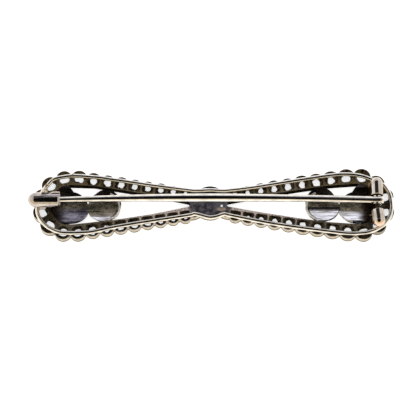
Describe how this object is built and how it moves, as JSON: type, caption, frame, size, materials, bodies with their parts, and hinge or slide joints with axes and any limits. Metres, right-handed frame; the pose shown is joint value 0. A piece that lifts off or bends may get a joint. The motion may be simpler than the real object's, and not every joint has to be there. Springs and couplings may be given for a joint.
{
  "type": "bar brooch",
  "caption": "Stretched bow-shaped bar brooch with a pierced, scalloped border of small cut stones, a wire gallery, a hinged pin and a hooded catch, lying face down.",
  "frame": {"origin": "midway between the two ends of the setting plate, on the surface that the brooch lies on", "axes": "+X along the bar towards the hinge, +Y across the bar towards the catch's mouth, +Z from the front to the back, where the pin is"},
  "size_m": [0.0604, 0.0124, 0.0051],
  "materials": {
    "old_white_metal": "oxidised and worn, bright on the wire, catch and hinge",
    "polished_white_metal": "polished, slightly warm white metal with fine scratches",
    "stone": "clear, facet cut"
  },
  "bodies": {
    "brooch": {"frame": "old_white_metal", "hinge_rivet": "polished_white_metal", "left_stones": "stone", "right_stones": "stone"},
    "pin": {"pin_stem": "polished_white_metal"}
  },
  "joints": [
    {"name": "pin_swing", "type": "hinge", "parent": "brooch", "child": "pin", "pos_m": [0.0269, 0, 0.003], "axis": [0, 1, 0], "range_deg": [0, 95]}
  ]
}
